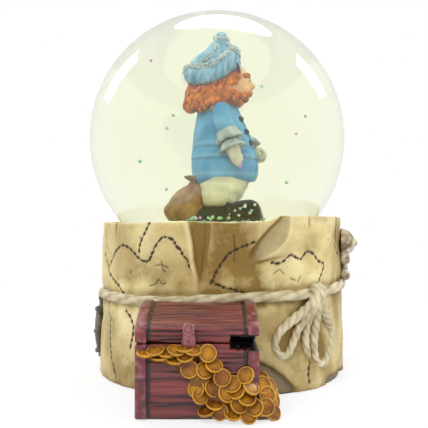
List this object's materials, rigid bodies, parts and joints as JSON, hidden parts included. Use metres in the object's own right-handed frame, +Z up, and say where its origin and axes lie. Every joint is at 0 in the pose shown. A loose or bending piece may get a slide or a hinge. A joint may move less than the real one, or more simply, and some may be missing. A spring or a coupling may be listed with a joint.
{
  "type": "musical snow globe",
  "caption": "Liquid-filled glass ball holding a pirate figure, on a cast rolled-map base with a rope, a treasure chest in front and a wind-up musical movement underneath.",
  "frame": {"origin": "where the glass ball's axis meets the table, in the plane of the felt's underside", "axes": "+Z up along the ball's axis; -Y towards the viewer, through the treasure chest; +X to the viewer's right"},
  "size_m": [0.1045, 0.1248, 0.1405],
  "materials": {
    "clear_glass": "clear, polished",
    "pale_liquid": "clear pale yellow-green",
    "grey_rubber": "matt",
    "cement": "matt",
    "sand_resin": "matt, cast",
    "glitter": "sparkling",
    "black_paint": "gloss paint on resin",
    "cream_paint": "satin paint on resin",
    "blue_paint": "satin paint on resin",
    "light_blue_paint": "satin paint on resin",
    "grey_paint": "satin paint on resin",
    "skin_paint": "satin paint on resin",
    "orange_paint": "satin paint on resin",
    "tan_paint": "matt paint on resin",
    "parchment": "matt paint with a brown wash in its cracks",
    "rope_paint": "matt paint with a brown wash",
    "iron_paint": "satin paint with an ochre wash",
    "bone_paint": "matt paint with a brown wash",
    "chest_red": "satin paint, worn pink on its edges",
    "strap_red": "satin paint, worn pink on its edges",
    "gold_paint": "gloss gold paint",
    "green_felt": "matt felt",
    "black_plastic": "matt",
    "bright_steel": "plated",
    "spring_steel": "blued",
    "zinc_casting": "as cast",
    "brass": "polished"
  },
  "bodies": {
    "globe_and_base": {"glass_globe": "clear_glass", "liquid_fill": "pale_liquid", "rubber_stopper": "grey_rubber", "globe_cement": "cement", "scene_ground": "sand_resin", "glitter_flakes": "glitter", "pirate_boots": "black_paint", "pirate_trousers": "cream_paint", "pirate_coat": "blue_paint", "coat_buttons": "black_paint", "pirate_sleeves": "blue_paint", "pirate_cuffs": "grey_paint", "pirate_hands": "skin_paint", "pirate_head": "skin_paint", "pirate_hair": "orange_paint", "pirate_hat": "light_blue_paint", "loot_sack": "tan_paint", "map_base": "parchment", "rope_band": "rope_paint", "rope_bow": "rope_paint", "ship_wheel": "iron_paint", "skull_relief": "bone_paint", "anchor_relief": "iron_paint", "chest_body": "chest_red", "chest_lid": "chest_red", "chest_straps": "strap_red", "chest_hasp": "strap_red", "coin_heap": "gold_paint", "felt_pads": "green_felt", "bottom_plate": "black_plastic", "plate_screws": "bright_steel", "movement_frame": "zinc_casting", "movement_screws": "bright_steel", "comb": "bright_steel", "comb_screws": "bright_steel", "governor_bracket": "bright_steel", "spring_housing": "bright_steel", "mainspring": "spring_steel"},
    "winding": {"winding_key": "brass", "winding_arbor": "bright_steel", "crown_wheel": "brass"},
    "drum": {"music_drum": "brass", "drum_pins": "bright_steel", "drum_shaft": "bright_steel"},
    "lay_shaft": {"lay_shaft": "bright_steel"},
    "governor": {"governor_worm": "bright_steel", "governor_fan": "bright_steel"}
  },
  "joints": [
    {"name": "key_turn", "type": "hinge", "parent": "globe_and_base", "child": "winding", "pos_m": [-0.015, 0, 0.01], "axis": [0, 0, 1], "continuous": true},
    {"name": "drum_turn", "type": "hinge", "parent": "globe_and_base", "child": "drum", "pos_m": [0, 0, 0.02655], "axis": [1, 0, 0], "continuous": true},
    {"name": "lay_turn", "type": "hinge", "parent": "globe_and_base", "child": "lay_shaft", "pos_m": [0.0214, 0.0104, 0.02655], "axis": [1, 0, 0], "continuous": true},
    {"name": "governor_spin", "type": "hinge", "parent": "globe_and_base", "child": "governor", "pos_m": [0.0266, 0.01555, 0.03], "axis": [0, 0, 1], "continuous": true}
  ],
  "couplings": [
    {"joint": "drum_turn", "follows": "key_turn", "ratio": 2.5},
    {"joint": "lay_turn", "follows": "key_turn", "ratio": -9},
    {"joint": "governor_spin", "follows": "key_turn", "ratio": 180}
  ]
}
